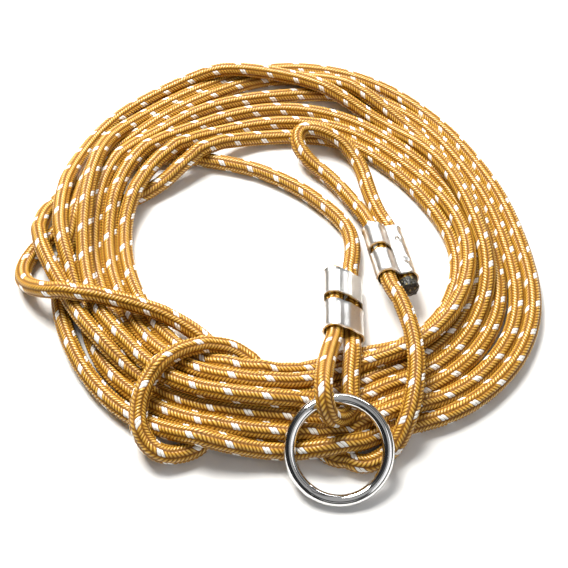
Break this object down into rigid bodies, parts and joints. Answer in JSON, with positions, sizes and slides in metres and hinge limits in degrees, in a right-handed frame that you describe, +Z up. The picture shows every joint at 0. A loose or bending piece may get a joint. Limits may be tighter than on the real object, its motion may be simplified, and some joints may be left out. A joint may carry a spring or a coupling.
{
  "type": "coiled lifeline rope with ring",
  "caption": "Coiled braided line with a welded steel ring held in one turned-back end and a plain eye in the other, each closed by a crimped duplex clamp.",
  "frame": {"origin": "middle of the footprint of the laid-down coil and its ends, on the floor", "axes": "+Z up off the floor, -Y towards the ring, +X to the right of someone who looks over the ring at the coil"},
  "size_m": [0.2502, 0.266, 0.0332],
  "materials": {
    "braid": "satin",
    "charred_end": "matte",
    "plated_sheet": "satin",
    "polished_ring": "polished"
  },
  "bodies": {
    "line": {"rope_coil": "braid", "ring_lead": "braid", "ring_eye": "braid", "ring_eye_cut_end": "charred_end", "ring_clamp": "plated_sheet", "plain_eye": "braid", "plain_eye_cut_end": "charred_end", "plain_eye_clamp": "plated_sheet", "eye_lead": "braid", "upper_wrap": "braid", "lower_wrap": "braid"},
    "ring": {"ring": "polished_ring"}
  },
  "joints": [
    {"name": "ring_swing", "type": "hinge", "parent": "line", "child": "ring", "pos_m": [0.02634, -0.09442, 0.0198], "axis": [-1, 0, 0], "range_deg": [0, 195]}
  ]
}
